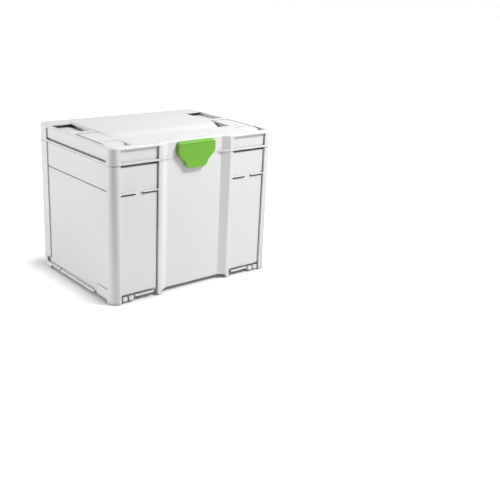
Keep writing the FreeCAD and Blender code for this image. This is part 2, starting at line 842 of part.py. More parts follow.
def lid_shell():
    """The lid: a thin shell with its pockets, handle recess and latch boss."""
    outer = lid_outer()
    cavity = raise_face(inner_plan(wall), lid_bottom - 5, rim_top - wall)
    keep = [handle_recess(lid_pocket_floor_wall)] + pocket_volume(lid_pocket_floor_wall)
    column_fill = pair(box(rear_column_x - wall, half_width - wall, hinge_y - wall, rear_y,
                           lid_bottom - 1, parting_height + 14))
    slot_lining = pair(box(half_width - side_slot_depth - lid_pocket_floor_wall, half_width,
                           side_front_y - 5, side_rear_y + wall, ledge_top - lid_pocket_floor_wall,
                           ledge_top + side_slot_height + lid_pocket_floor_wall))
    cavity = cavity.cut(keep + column_fill + slot_lining)
    lid = outer.cut(cavity)

    panel = box(-panel_width / 2 + panel_nose_side_slope, panel_width / 2 - panel_nose_side_slope,
                panel_nose_top_y + 20, rear_strip_line_y, rim_top - 1, case_height)
    panel = soften_vertical(panel, 3.0)
    groove_x = panel_width / 2 - pocket_undercut_side - 2.0
    strip_groove = box(-groove_x, groove_x, rear_strip_line_y,
                       rear_strip_line_y + strip_groove_width, rim_top - strip_groove_depth, case_height)
    lid = lid.cut([handle_recess(0.0), strip_groove] + pocket_volume(0.0))
    nose = panel_nose()
    nose_core = nose.common(box(-BIG, BIG, -BIG, recess_rear_y + lid_pocket_floor_wall, 0, BIG))
    hollow = nose_core.copy()
    hollow.translate(V(0, lid_pocket_floor_wall, -lid_pocket_floor_wall - 0.6))
    hollow = hollow.common(box(-panel_width / 2 + 8, panel_width / 2 - 8, -BIG, -0.5, 0, BIG))
    below = box(-panel_width / 2 + 8, panel_width / 2 - 8, panel_nose_foot_y + 4, -0.5,
                recess_floor - lid_pocket_floor_wall - 1, recess_floor + 0.5)
    lid = lid.fuse([nose_core, panel]).cut([hollow, below])
    lid = lid.fuse(lid_skirt())
    lid = lid.fuse(latch_seat()).cut(latch_seat_holes())
    lid = lid_hinge_parts(lid)
    pins = pair(rod_x(handle_pin_radius + handle_pin_fit, handle_pin_inner_x(), handle_pin_outer_x(),
                      handle_pivot_y, handle_pivot_z))
    bosses = pair(box(recess_inner_x - pin_end_bite - 1.5, recess_inner_x - 0.5, handle_pivot_y - 6,
                      recess_rear_y + lid_pocket_floor_wall - 0.5, recess_floor - 1, rim_top - 1))
    return lid.fuse(bosses).cut(pins)


def handle_pin_inner_x():
    """Where the handle's pin ends in the wall beside the centre panel."""
    return recess_inner_x - pin_end_bite


def handle_pin_outer_x():
    """Where the handle's pin ends in the lid's rim."""
    return recess_outer_x + pin_outer_bite


def lid_skirt():
    """A low skirt under both side edges of the lid that locates it inside the body's rim."""
    outer = raise_face(inner_plan(wall + skirt_clearance), lid_bottom - skirt_depth, lid_bottom + 1)
    inner = raise_face(inner_plan(wall + skirt_clearance + skirt_thickness), lid_bottom - skirt_depth - 1,
                       lid_bottom + 2)
    ring = outer.cut(inner)
    attached = raise_face(inner_plan(wall - 0.5), lid_bottom, lid_bottom + skirt_thickness)
    attached = attached.cut(raise_face(inner_plan(wall + skirt_clearance + skirt_thickness), lid_bottom - 1,
                                       lid_bottom + skirt_thickness + 1))
    rear_free = box(-BIG, BIG, side_rear_y, BIG, 0, BIG)
    front_free = box(-BIG, BIG, -BIG, side_front_y, 0, BIG)
    return ring.fuse(attached).cut([rear_free, front_free])


def latch_seat():
    """Inside the lid's front: a thick ring for the bush and bosses for the screws there."""
    inner_y = bay_back_y + wall
    ring = rod_y(bush_flange_radius + 1.5, inner_y - 0.5, inner_y + 1.0, 0, pivot_z)
    bosses = pair(rod_y(cover_screw_radius + 2.4, inner_y - 0.5, cover_front_y(), cover_lug_x(), pivot_z))
    bosses += pair(rod_y(spring_tab_size / 2, inner_y - 0.5, spring_tab_y(), spring_screw_x,
                         spring_screw_z()))
    return [ring] + bosses


def cover_lug_x():
    """The middle of the cover's lug."""
    return cover_half_width + cover_lug_width / 2


def cover_front_y():
    """The open front of the cover, where its lugs rest on the lid's bosses."""
    return bay_back_y + wall + cover_boss_height


def cam_front_y():
    """The front face of the cam on the latch's shaft."""
    return bay_back_y + wall + bush_flange_thickness + cam_clearance + 1.0


def cam_rear_y():
    """The rear face of the cam."""
    return cam_front_y() + cam_thickness


def spring_strip_top():
    """The upper face of the detent spring's flat strip."""
    return pivot_z - cam_radius - spring_bump_clearance - spring_drop


def spring_tab_y():
    """The face of the bosses that the spring's tabs rest on."""
    return bay_back_y + wall + spring_boss_height


def spring_screw_z():
    """The height of the spring's screws."""
    return spring_strip_top() + spring_tab_size / 2


def latch_seat_holes():
    """The bush's bore through the lid's front wall and the pilot holes."""
    inner_y = bay_back_y + wall
    bore = rod_y(bush_radius + bush_fit, bay_back_y - 1, inner_y + 3, 0, pivot_z)
    flange = rod_y(bush_flange_radius + 0.1, inner_y, inner_y + 3, 0, pivot_z)
    cover_pilot = rod_y(cover_screw_radius + screw_fit,
                        cover_front_y() + cover_lug_thickness - cover_screw_length - 0.3,
                        cover_front_y() + 1, cover_lug_x(), pivot_z)
    spring_pilot = rod_y(spring_screw_radius + screw_fit,
                         spring_tab_y() + spring_thickness - spring_screw_length - 0.3,
                         spring_tab_y() + 1, spring_screw_x, spring_screw_z())
    return [bore, flange] + pair(cover_pilot) + pair(spring_pilot)


def lid_hinge_parts(lid):
    """The lid's middle knuckles and the notches for the brackets' knuckles."""
    half = hinge_width / 2
    knuckle_half = lid_knuckle_width / 2
    reach = knuckle_radius + knuckle_clearance
    for centre_x in hinge_centres():
        ring = hinge_barrel(reach + wall, centre_x, -half - 2, half + 2)
        ring = ring.common(box(-BIG, BIG, hinge_y - 20, hinge_y, lid_bottom, BIG))
        notches = [hinge_barrel(reach, centre_x, -half, -knuckle_half),
                   hinge_barrel(reach, centre_x, knuckle_half, half)]
        knuckle = hinge_barrel(knuckle_radius, centre_x, -knuckle_half, knuckle_half)
        lid = lid.fuse(ring).cut(notches).fuse(knuckle)
        lid = lid.cut(hinge_barrel(hinge_pin_radius + hinge_pin_clearance, centre_x, -half, half))
    return lid


def carry_handle():
    """The U-shaped handle: two broad arms and a rounded grip bar, hollow underneath."""
    arm_corners = [
        (arm_rear_y, handle_bottom, arm_end_radius - 0.01),
        (arm_rear_y, handle_top, arm_rear_edge),
        (arm_nose_start_y, handle_top, arm_nose_radius),
        (arm_front_y, handle_bottom + arm_tip_height, arm_tip_round),
        (arm_front_y, handle_bottom, 1.0),
    ]
    arm = prism_x(arm_corners, arm_inner_x, arm_outer_x)
    bar_corners = [
        (bar_rear_y, handle_bottom, bar_round),
        (bar_rear_y, handle_top, bar_round),
        (bar_front_y, handle_top, 1.6),
        (bar_front_y, handle_bottom, 1.6),
    ]
    bar = prism_x(bar_corners, -arm_inner_x - 1, arm_inner_x + 1)
    blend = [
        (arm_inner_x + 1, bar_rear_y - 1, 0),
        (arm_inner_x + 1, bar_rear_y + handle_inner_corner, 0),
        (arm_inner_x, bar_rear_y + handle_inner_corner, 0),
        (arm_inner_x, bar_rear_y, handle_inner_corner - 0.01),
        (arm_inner_x - handle_inner_corner, bar_rear_y, 0),
        (arm_inner_x - handle_inner_corner, bar_rear_y - 1, 0),
    ]
    handle = arm.fuse([mirrored(arm), bar] + pair(prism_z(blend, handle_bottom + bar_round,
                                                          handle_top - bar_round)))
    line = box(arm_inner_x - 1, arm_inner_x + arm_line_length, arm_line_y - arm_line_width / 2,
               arm_line_y + arm_line_width / 2, handle_top - arm_line_depth, handle_top + 1)
    hollows = []
    inner = handle_hollow_wall
    well_rear = handle_pivot_y - arm_end_radius - 1.0
    rib_step = (well_rear - arm_hollow_front_y) / 3
    for number in range(3):
        y1 = well_rear - number * rib_step
        hollows += pair(box(arm_inner_x + inner, arm_outer_x - inner, y1 - rib_step + inner / 2, y1 - inner / 2,
                            handle_bottom - 1, handle_bottom + handle_hollow_depth))
    cells = 8
    bar_length = 2 * (arm_inner_x - inner)
    cell = bar_length / cells
    for number in range(cells):
        x0 = -arm_inner_x + inner + number * cell
        hollows.append(box(x0 + inner / 3, x0 + cell - inner / 3, bar_front_y + inner, bar_rear_y - inner - 1.5,
                           handle_bottom - 1, handle_bottom + handle_hollow_depth))
    bores = pair(rod_x(handle_pin_radius + handle_pin_clearance, arm_inner_x - 1, arm_outer_x + 1,
                       handle_pivot_y, handle_pivot_z))
    return handle.cut(pair(line) + hollows + bores)


def handle_pin(side):
    """The steel pin that one arm of the handle turns on."""
    pin = rod_x(handle_pin_radius, handle_pin_inner_x() + 0.2, handle_pin_outer_x() - 0.2,
                handle_pivot_y, handle_pivot_z)
    ends = [e for e in pin.Edges if e.Curve.TypeId == "Part::GeomCircle"]
    pin = pin.makeChamfer(0.4, ends)
    return pin if side > 0 else mirrored(pin)


def latch_outline(inset):
    """The T-shaped knob's outline in x and z, drawn in by an inset."""
    top = pivot_z + latch_top_rise - inset
    half = latch_half_width - inset
    neck = latch_neck_half_width - inset
    stem = latch_stem_half_width - inset
    shoulder = pivot_z - latch_shoulder_drop
    neck_z = pivot_z - latch_neck_drop
    bottom = pivot_z - latch_stem_reach + inset
    right = [
        (half, top, 9.0),
        (half, shoulder, 12.0),
        (neck, neck_z, 7.0),
        (stem, bottom, 12.0),
    ]
    return right + [(-x, z, r) for x, z, r in reversed(right)]


def latch_knob():
    """The T-shaped knob: a shell open at the back, with a hub, a shaft and a hook."""
    back_y = bay_back_y - latch_back_clearance
    face_y = back_y - latch_thickness
    knob = prism_y(latch_outline(0.0), face_y, back_y)
    front_edges = [e for e in knob.Edges if e.BoundBox.YMax < face_y + 0.01]
    knob = knob.makeChamfer(latch_edge_bevel, front_edges)
    bevel = prism_x([
        (face_y - 1, pivot_z + latch_top_rise - latch_top_bevel, 0),
        (face_y - 1, pivot_z + latch_top_rise + 2, 0),
        (back_y + 0.5, pivot_z + latch_top_rise + 2, 0),
        (back_y + 0.5, pivot_z + latch_top_rise, 0),
    ], -BIG / 2, BIG / 2)
    knob = knob.cut(bevel)
    hollow = prism_y(latch_outline(latch_shell_wall), face_y + latch_shell_wall, back_y + 1)
    hollow = hollow.cut(prism_x([
        (face_y - 1, pivot_z + latch_top_rise - latch_top_bevel - 3.4, 0),
        (face_y - 1, pivot_z + latch_top_rise + 2, 0),
        (back_y + 2, pivot_z + latch_top_rise + 2, 0),
        (back_y + 2, pivot_z + latch_top_rise - 1.4, 0),
    ], -BIG / 2, BIG / 2))
    hub = rod_y(latch_hub_rim_radius, face_y + 1, back_y, 0, pivot_z)
    hook = sector_ring(latch_hook_radius - latch_hook_thickness, latch_hook_radius, latch_hook_half_angle,
                       face_y + 1, back_y)
    ribs = [box(-1, 1, face_y + 1, back_y, pivot_z - latch_hook_radius + 1, pivot_z - latch_hub_rim_radius + 1)]
    ribs += pair(box(latch_hub_rim_radius - 1, latch_half_width - 1.0, face_y + 1, back_y - 1.0,
                     pivot_z - 1, pivot_z + 1))
    knob = knob.cut(hollow.cut([hub, hook] + ribs))
    shaft = rod_y(latch_hub_radius, back_y - 1, cam_front_y(), 0, pivot_z)
    half = latch_square_size / 2
    square = box(-half, half, cam_front_y() - 1, cam_rear_y() - 0.3, pivot_z - half, pivot_z + half)
    hole = rod_y(latch_screw_radius + screw_fit, cam_rear_y() - latch_screw_length - 0.5, cam_rear_y() + 1,
                 0, pivot_z)
    return knob.fuse([shaft, square]).cut(hole)


def latch_bush():
    """The flanged bush that the knob's shaft turns in, pressed into the lid from inside."""
    front = bay_back_y + 0.2
    inner_y = bay_back_y + wall
    barrel = rod_y(bush_radius, front, inner_y + bush_flange_thickness, 0, pivot_z)
    flange = rod_y(bush_flange_radius, inner_y + 0.01, inner_y + bush_flange_thickness, 0, pivot_z)
    bore = rod_y(latch_hub_radius + hub_running_clearance, front - 1, inner_y + 5, 0, pivot_z)
    return barrel.fuse(flange).cut(bore)


def latch_cam():
    """The disc on the shaft's square end, with four notches for the detent."""
    disc = rod_y(cam_radius, cam_front_y(), cam_rear_y(), 0, pivot_z)
    half = latch_square_size / 2 + cam_square_fit
    disc = disc.cut(box(-half, half, cam_front_y() - 1, cam_rear_y() + 1, pivot_z - half, pivot_z + half))
    for turn in range(4):
        angle = math.radians(90 * turn)
        x = cam_radius * math.cos(angle)
        z = pivot_z + cam_radius * math.sin(angle)
        disc = disc.cut(rod_y(cam_notch_radius, cam_front_y() - 1, cam_rear_y() + 1, x, z))
    return disc


def latch_screw():
    """The screw with a broad head that holds the cam on the shaft."""
    y0 = cam_rear_y() + 0.02
    shank = rod_y(latch_screw_radius, cam_rear_y() - latch_screw_length, y0 + 0.5, 0, pivot_z)
    head = rod_y(latch_screw_head_radius, y0, y0 + latch_screw_head_height, 0, pivot_z)
    rim = [e for e in head.Edges if e.Curve.TypeId == "Part::GeomCircle" and e.BoundBox.YMin > y0 + 1]
    head = head.makeChamfer(0.9, rim)
    across = box(-2.6, 2.6, y0 + 1.0, y0 + 5, pivot_z - 0.5, pivot_z + 0.5)
    upright = box(-0.5, 0.5, y0 + 1.0, y0 + 5, pivot_z - 2.6, pivot_z + 2.6)
    return shank.fuse(head).cut([across, upright])


def latch_detent_spring():
    """A leaf spring with a bump under the cam and a screw tab at each end."""
    top = spring_strip_top()
    low = top - spring_thickness
    end = spring_screw_x + spring_tab_size / 2
    peak = top + spring_drop
    side = spring_bump_half_width
    thick = spring_thickness
    outline = [
        (-end, low, 0), (-side - 0.3, low, 0.5), (0, peak - thick * 1.1, 1.2), (side + 0.3, low, 0.5),
        (end, low, 0), (end, top, 0), (side, top, 0.8), (0, peak + 0.25, 2.0), (-side, top, 0.8),
        (-end, top, 0),
    ]
    strip = prism_y(outline, spring_tab_y(), spring_tab_y() + spring_width)
    strip = strip.cut(box(-BIG, BIG, -BIG, BIG, peak, BIG))
    tabs = pair(box(end - spring_tab_size, end, spring_tab_y(), spring_tab_y() + thick, low + 0.1,
                    low + thick + spring_tab_size))
    holes = pair(rod_y(spring_screw_radius + 0.15, spring_tab_y() - 1, spring_tab_y() + 2, spring_screw_x,
                       spring_screw_z()))
    return strip.fuse(tabs).cut(holes)


def pan_screw(radius, head_radius, head_height, length, x, seat_y, z):
    """A screw along Y whose round head rests on a face at seat_y and whose tip points forward."""
    shank = rod_y(radius, seat_y - length, seat_y + 0.3, x, z)
    head = rod_y(head_radius, seat_y + 0.01, seat_y + head_height, x, z)
    rim = [e for e in head.Edges if e.Curve.TypeId == "Part::GeomCircle"
           and e.BoundBox.YMin > seat_y + head_height - 0.1]
    head = head.makeChamfer(head_height * 0.45, rim)
    slot_y = seat_y + head_height * 0.45
    reach = head_radius * 0.62
    across = box(x - reach, x + reach, slot_y, seat_y + 9, z - 0.35, z + 0.35)
    upright = box(x - 0.35, x + 0.35, slot_y, seat_y + 9, z - reach, z + reach)
    return shank.fuse(head).cut([across, upright])


def latch_spring_screws():
    """Two screws through the spring's tabs."""
    seat = spring_tab_y() + spring_thickness
    return Part.makeCompound([pan_screw(spring_screw_radius, spring_screw_head_radius, 1.4,
                                        spring_screw_length, side * spring_screw_x, seat,
                                        spring_screw_z()) for side in (-1, 1)])


def latch_cover():
    """The cover over the latch's mechanism, open to the front and under the lid's top."""
    low = lid_bottom + cover_bottom_lift
    high = rim_top - wall - cover_top_clearance
    y0 = cover_front_y()
    y1 = y0 + cover_depth
    shell = box(-cover_half_width, cover_half_width, y0, y1, low, high)
    upright = [e for e in shell.Edges if e.BoundBox.YMin > y1 - 0.01 and e.BoundBox.ZLength > 1]
    shell = shell.makeFillet(3.0, upright)
    inside = box(-cover_half_width + cover_wall, cover_half_width - cover_wall, y0 - 1, y1 - cover_wall,
                 low + cover_wall, high + 1)
    lugs = pair(prism_y([
        (cover_half_width - 1, pivot_z - cover_lug_width / 2, 0),
        (cover_half_width + cover_lug_width, pivot_z - cover_lug_width / 2, 3.5),
        (cover_half_width + cover_lug_width, pivot_z + cover_lug_width / 2, 3.5),
        (cover_half_width - 1, pivot_z + cover_lug_width / 2, 0),
    ], y0, y0 + cover_lug_thickness))
    holes = pair(rod_y(cover_screw_radius + 0.2, y0 - 1, y0 + 5, cover_lug_x(), pivot_z))
    return shell.cut(inside).fuse(lugs).cut(holes)


def latch_cover_screws():
    """Two screws through the cover's lugs."""
    seat = cover_front_y() + cover_lug_thickness
    return Part.makeCompound([pan_screw(cover_screw_radius, cover_screw_head_radius, 1.6,
                                        cover_screw_length, side * cover_lug_x(), seat, pivot_z)
                              for side in (-1, 1)])


nodes = {}
nodes["case_body"] = case_body()
nodes["lid_shell"] = lid_shell()
nodes["carry_handle"] = carry_handle()
nodes["handle_pin_left"] = handle_pin(-1)
nodes["handle_pin_right"] = handle_pin(1)
nodes["latch_knob"] = latch_knob()
nodes["latch_bush"] = latch_bush()
nodes["latch_cam"] = latch_cam()
nodes["latch_screw"] = latch_screw()
nodes["hinge_bracket_left"] = hinge_bracket(-hinge_offset_x)
nodes["hinge_bracket_right"] = hinge_bracket(hinge_offset_x)
nodes["hinge_pin_left"] = hinge_pin(-hinge_offset_x)
nodes["hinge_pin_right"] = hinge_pin(hinge_offset_x)
nodes["hinge_screws"] = hinge_screws()
nodes["latch_detent_spring"] = latch_detent_spring()
nodes["latch_spring_screws"] = latch_spring_screws()
nodes["latch_cover"] = latch_cover()
nodes["latch_cover_screws"] = latch_cover_screws()

os.makedirs("parts", exist_ok=True)
for name, shape in nodes.items():
    shape = shape.removeSplitter()
    shape.exportStep("parts/" + name + ".step")
    box_here = shape.BoundBox
    print(name, "solids", len(shape.Solids), "valid", shape.isValid(), "volume %.0f" % shape.Volume,
          "x %.1f %.1f y %.1f %.1f z %.1f %.1f" % (box_here.XMin, box_here.XMax, box_here.YMin,
                                                    box_here.YMax, box_here.ZMin, box_here.ZMax))
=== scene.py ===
import math

import bmesh
import bpy
import numpy as np
from mathutils import Matrix, Vector


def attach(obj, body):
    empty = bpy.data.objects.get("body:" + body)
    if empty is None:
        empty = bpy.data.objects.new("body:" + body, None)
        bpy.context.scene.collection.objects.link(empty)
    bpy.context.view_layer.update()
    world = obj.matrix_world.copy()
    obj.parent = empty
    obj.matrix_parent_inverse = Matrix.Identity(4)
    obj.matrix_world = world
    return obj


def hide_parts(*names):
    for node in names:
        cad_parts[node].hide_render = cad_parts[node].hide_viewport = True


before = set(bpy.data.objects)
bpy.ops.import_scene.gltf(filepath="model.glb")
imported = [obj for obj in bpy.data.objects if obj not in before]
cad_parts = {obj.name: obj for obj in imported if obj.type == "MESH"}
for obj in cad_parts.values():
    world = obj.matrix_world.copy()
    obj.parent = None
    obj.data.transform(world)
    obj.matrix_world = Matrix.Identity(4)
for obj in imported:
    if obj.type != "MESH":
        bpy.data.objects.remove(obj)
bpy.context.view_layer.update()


# Case body.
# The bin is one injection moulding in light grey plastic with a fine spark-eroded skin.
# Its edges are soft, and painted shade darkens its colour in its narrow gaps. A copy stands
# for the CAD node, with the parting groove under the lid cut out of it. The grooves' places are in mm.

CASE_GREY = (0.79, 0.79, 0.79)
HOUSING_ROUGHNESS = 0.46
HOUSING_GRAIN = 2600.0
HOUSING_GRAIN_HEIGHT = 0.00006
HOUSING_EDGE = 0.0007
HOUSING_SPREAD = 0.012
# Painted shade in gaps: how far its mask looks, how dark it paints, and over which openness.
PAINTED_SHADE_REACH = 0.012
PAINTED_SHADE_DARKEST = 0.35
PAINTED_SHADE_START = 0.1
PAINTED_SHADE_END = 0.7
PAINTED_SHADE_SAMPLES = 8

TEXTURE_LOW = 0.3
TEXTURE_HIGH = 0.7
FLOW_SCALE = 9.0
FLOW_ROUGHNESS = 0.45
GRAIN_DETAIL = 2.0
FINE_ROUGHNESS = 0.6
BROAD_ROUGHNESS = 0.5
BROAD_SCALE_SHARE = 0.31
GLOSS_BELOW = 0.04
GLOSS_ABOVE = 0.05
EDGE_SAMPLES = 6
BROAD_BUMP_STRENGTH = 0.25
BROAD_BUMP_SHARE = 1.6
FINE_BUMP_STRENGTH = 0.3
PLASTIC_SPECULAR = 0.42

MM_PER_METRE = 1000.0
MERGE_DISTANCE = 0.000002
LEAST_SHARE_LEFT = 0.5
CORNER_STEPS = 9
BAND_OUTSIDE = 1.0

CASE_HALF_LENGTH = 198.0
CASE_HALF_DEPTH = 148.0
CASE_CORNER = 16.0
PARTING_DEPTH = 1.1
PARTING_LOW = 278.05
PARTING_HIGH = 281.0
SIDE_PARTING_INNER = 193.9
SIDE_PARTING_OUTER = 199.0
SIDE_PARTING_FRONT = -128.0
SIDE_PARTING_REAR = 110.0


def new_material(name):
    """An empty node material with its shader, its output and its Object coordinates."""
    material = bpy.data.materials.new(name)
    material.use_nodes = True
    tree = material.node_tree
    tree.nodes.clear()
    output = tree.nodes.new("ShaderNodeOutputMaterial")
    shader = tree.nodes.new("ShaderNodeBsdfPrincipled")
    coords = tree.nodes.new("ShaderNodeTexCoord")
    tree.links.new(shader.outputs["BSDF"], output.inputs["Surface"])
    return material, tree, shader, coords


def noise(tree, coords, scale, detail, roughness, stretch=None):
    """A noise texture in Object coordinates, its scale in features per metre."""
    texture = tree.nodes.new("ShaderNodeTexNoise")
    texture.inputs["Scale"].default_value = scale
    texture.inputs["Detail"].default_value = detail
    texture.inputs["Roughness"].default_value = roughness
    if stretch is None:
        tree.links.new(coords.outputs["Object"], texture.inputs["Vector"])
        return texture
    mapping = tree.nodes.new("ShaderNodeMapping")
    mapping.inputs["Scale"].default_value = stretch
    tree.links.new(coords.outputs["Object"], mapping.inputs["Vector"])
    tree.links.new(mapping.outputs["Vector"], texture.inputs["Vector"])
    return texture


def ramp(tree, source, low, high):
    """A colour ramp from low to high over the middle part of a texture's range."""
    node = tree.nodes.new("ShaderNodeValToRGB")
    node.color_ramp.elements[0].position = TEXTURE_LOW
    node.color_ramp.elements[0].color = (*low, 1.0)
    node.color_ramp.elements[1].position = TEXTURE_HIGH
    node.color_ramp.elements[1].color = (*high, 1.0)
    tree.links.new(source, node.inputs["Fac"])
    return node


def number_range(tree, source, low, high, start=TEXTURE_LOW, end=TEXTURE_HIGH):
    """Part of a source's range, from start to end, mapped to the range from low to high."""
    node = tree.nodes.new("ShaderNodeMapRange")
    node.inputs["From Min"].default_value = start
    node.inputs["From Max"].default_value = end
    node.inputs["To Min"].default_value = low
    node.inputs["To Max"].default_value = high
    tree.links.new(source, node.inputs["Value"])
    return node


def bump(tree, height, strength, distance, normal=None):
    """A bump from a texture's height, on top of another normal where one is given."""
    node = tree.nodes.new("ShaderNodeBump")
    node.inputs["Strength"].default_value = strength
    node.inputs["Distance"].default_value = distance
    tree.links.new(height, node.inputs["Height"])
    if normal is not None:
        tree.links.new(normal, node.inputs["Normal"])
    return node


def moulded_plastic(name, colour, roughness, grain_scale, grain_height, edge_radius,
                    spread=HOUSING_SPREAD, painted_shade_reach=PAINTED_SHADE_REACH, painted_shade_end=PAINTED_SHADE_END):
    """A spark-eroded plastic: fine grain, faint flow marks, soft edges, and painted shade that darkens its
    colour in narrow gaps.
    """
    material, tree, shader, coords = new_material(name)
    flow = noise(tree, coords, FLOW_SCALE, GRAIN_DETAIL, FLOW_ROUGHNESS)
    fine = noise(tree, coords, grain_scale, GRAIN_DETAIL, FINE_ROUGHNESS)
    broad = noise(tree, coords, grain_scale * BROAD_SCALE_SHARE, GRAIN_DETAIL, BROAD_ROUGHNESS)
    low = tuple(c * (1.0 - spread) for c in colour)
    high = tuple(min(1.0, c * (1.0 + spread)) for c in colour)
    tint = ramp(tree, flow.outputs["Fac"], low, high)
    # Painted shade: an ambient-occlusion mask multiplies the colour darker in gaps and hollows.
    painted_shade_mask = tree.nodes.new("ShaderNodeAmbientOcclusion")
    painted_shade_mask.samples = PAINTED_SHADE_SAMPLES
    painted_shade_mask.inputs["Distance"].default_value = painted_shade_reach
    painted_shade = number_range(tree, painted_shade_mask.outputs["AO"], PAINTED_SHADE_DARKEST, 1.0, PAINTED_SHADE_START, painted_shade_end)
    tint_with_painted_shade = tree.nodes.new("ShaderNodeMix")
    tint_with_painted_shade.data_type = "RGBA"
    tint_with_painted_shade.blend_type = "MULTIPLY"
    tint_with_painted_shade.inputs["Factor"].default_value = 1.0
    tree.links.new(tint.outputs["Color"], tint_with_painted_shade.inputs["A"])
    tree.links.new(painted_shade.outputs["Result"], tint_with_painted_shade.inputs["B"])
    tree.links.new(tint_with_painted_shade.outputs["Result"], shader.inputs["Base Color"])
    gloss = number_range(tree, broad.outputs["Fac"], roughness - GLOSS_BELOW, roughness + GLOSS_ABOVE)
    tree.links.new(gloss.outputs["Result"], shader.inputs["Roughness"])
    soft_edge = tree.nodes.new("ShaderNodeBevel")
    soft_edge.samples = EDGE_SAMPLES
    soft_edge.inputs["Radius"].default_value = edge_radius
    broad_bump = bump(tree, broad.outputs["Fac"], BROAD_BUMP_STRENGTH, grain_height * BROAD_BUMP_SHARE,
                      soft_edge.outputs["Normal"])
    fine_bump = bump(tree, fine.outputs["Fac"], FINE_BUMP_STRENGTH, grain_height,
                     broad_bump.outputs["Normal"])
    tree.links.new(fine_bump.outputs["Normal"], shader.inputs["Normal"])
    shader.inputs["Specular IOR Level"].default_value = PLASTIC_SPECULAR
    return material


def dress(node_names, material):
    """Gives each named CAD node its one material. Their shapes stay as they are."""
    for node_name in node_names:
        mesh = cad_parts[node_name].data
        mesh.materials.clear()
        mesh.materials.append(material)


def block(low, high):
    """A closed block from its low to its high corner, in mm."""
    return blocks(np.array([(low, high)], dtype=float))


def block_pair(low, high):
    """A closed block from its low to its high corner in mm, and its mirror image in x."""
    pairs = np.array([(low, high), (low, high)], dtype=float)
    pairs[1, 0, 0] = -high[0]
    pairs[1, 1, 0] = -low[0]
    return blocks(pairs)


def blocks(pairs):
    """Closed blocks from pairs of corners: low + (high - low) times the unit cube's corners."""
    pairs = pairs / MM_PER_METRE
    unit = np.array([(i, j, k) for k in (0, 1) for j in (0, 1) for i in (0, 1)], dtype=float)
    points = pairs[:, :1, :] + unit[None, :, :] * (pairs[:, 1:, :] - pairs[:, :1, :])
    sides = np.array([(0, 2, 3, 1), (4, 5, 7, 6), (0, 1, 5, 4),
                      (2, 6, 7, 3), (0, 4, 6, 2), (1, 3, 7, 5)])
    faces = sides[None, :, :] + len(unit) * np.arange(len(pairs))[:, None, None]
    return points.reshape(-1, 3), faces.reshape(-1, 4).tolist()


def frame_band(half_x, half_y, radius, depth, low, high):
    """A ring round the case in mm: a rectangle's section carried round a rounded rectangle.

    The path's corners are quarter circles about (half - radius). The section runs from a
    little outside the path to the groove's depth inside it, and from low to high in z."""
    steps = np.linspace(0.0, np.pi / 2, CORNER_STEPS)
    turns = (np.arange(4)[:, None] * np.pi / 2 + steps[None, :]).ravel()
    signs = np.array([(1, 1), (-1, 1), (-1, -1), (1, -1)]).repeat(len(steps), axis=0)
    centres = signs * np.array([half_x - radius, half_y - radius])
    directions = np.stack([np.cos(turns), np.sin(turns)], axis=1)
    outer = centres + directions * (radius + BAND_OUTSIDE)
    inner = centres + directions * (radius - depth)
    count = len(turns)
    rings = [(outer, low), (outer, high), (inner, high), (inner, low)]
    points = np.concatenate([np.column_stack([ring, np.full(count, z)]) for ring, z in rings])
    here = np.arange(count)
    after = (here + 1) % count
    faces = [np.stack([here + a * count, after + a * count, after + b * count, here + b * count], axis=1)
             for a, b in ((0, 1), (1, 2), (2, 3), (3, 0))]
    return points / MM_PER_METRE, np.concatenate(faces).tolist()


def carved(node_name, cutters, material, body):
    """A copy of a CAD node, its doubles merged, with fine grooves taken out of it.

    A cut that fails leaves next to nothing, and then the copy is shown without grooves."""
    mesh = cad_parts[node_name].data.copy()
    shape = bmesh.new()
    shape.from_mesh(mesh)
    bmesh.ops.remove_doubles(shape, verts=shape.verts, dist=MERGE_DISTANCE)
    shape.to_mesh(mesh)
    shape.free()
    piece = bpy.data.objects.new(node_name + "_carved", mesh)
    bpy.context.collection.objects.link(piece)
    tools = []
    for points, faces in cutters:
        tool_mesh = bpy.data.meshes.new("groove_tool")
        tool_mesh.from_pydata(points.tolist(), [], faces)
        tool = bpy.data.objects.new("groove_tool", tool_mesh)
        bpy.context.collection.objects.link(tool)
        cut = piece.modifiers.new("groove", "BOOLEAN")
        cut.operation = "DIFFERENCE"
        cut.solver = "EXACT"
        cut.object = tool
        tools.append(tool)
    evaluated = piece.evaluated_get(bpy.context.evaluated_depsgraph_get())
    result = bpy.data.meshes.new_from_object(evaluated)
    piece.modifiers.clear()
    if len(result.polygons) > len(mesh.polygons) * LEAST_SHARE_LEFT:
        piece.data = result
    for tool in tools:
        bpy.data.objects.remove(tool, do_unlink=True)
    piece.data.materials.clear()
    piece.data.materials.append(material)
    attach(piece, body)
    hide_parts(node_name)


housing = moulded_plastic("housing_plastic", CASE_GREY, HOUSING_ROUGHNESS, HOUSING_GRAIN,
                          HOUSING_GRAIN_HEIGHT, HOUSING_EDGE)
parting_groove = frame_band(CASE_HALF_LENGTH, CASE_HALF_DEPTH, CASE_CORNER, PARTING_DEPTH,
                            PARTING_LOW, PARTING_HIGH)
side_parting_grooves = block_pair((SIDE_PARTING_INNER, SIDE_PARTING_FRONT, PARTING_LOW),
                                  (SIDE_PARTING_OUTER, SIDE_PARTING_REAR, PARTING_HIGH))
carved("case_body", [parting_groove, side_parting_grooves], housing, "case")


# Lid.
# A second moulding in the same plastic, with the handle's recess, the corner pockets and
# the stacking panel in its top. It turns on the hinges at the rear. A copy stands for it,
# with wider slots behind the handle's arms and a wider groove behind the panel, in mm.

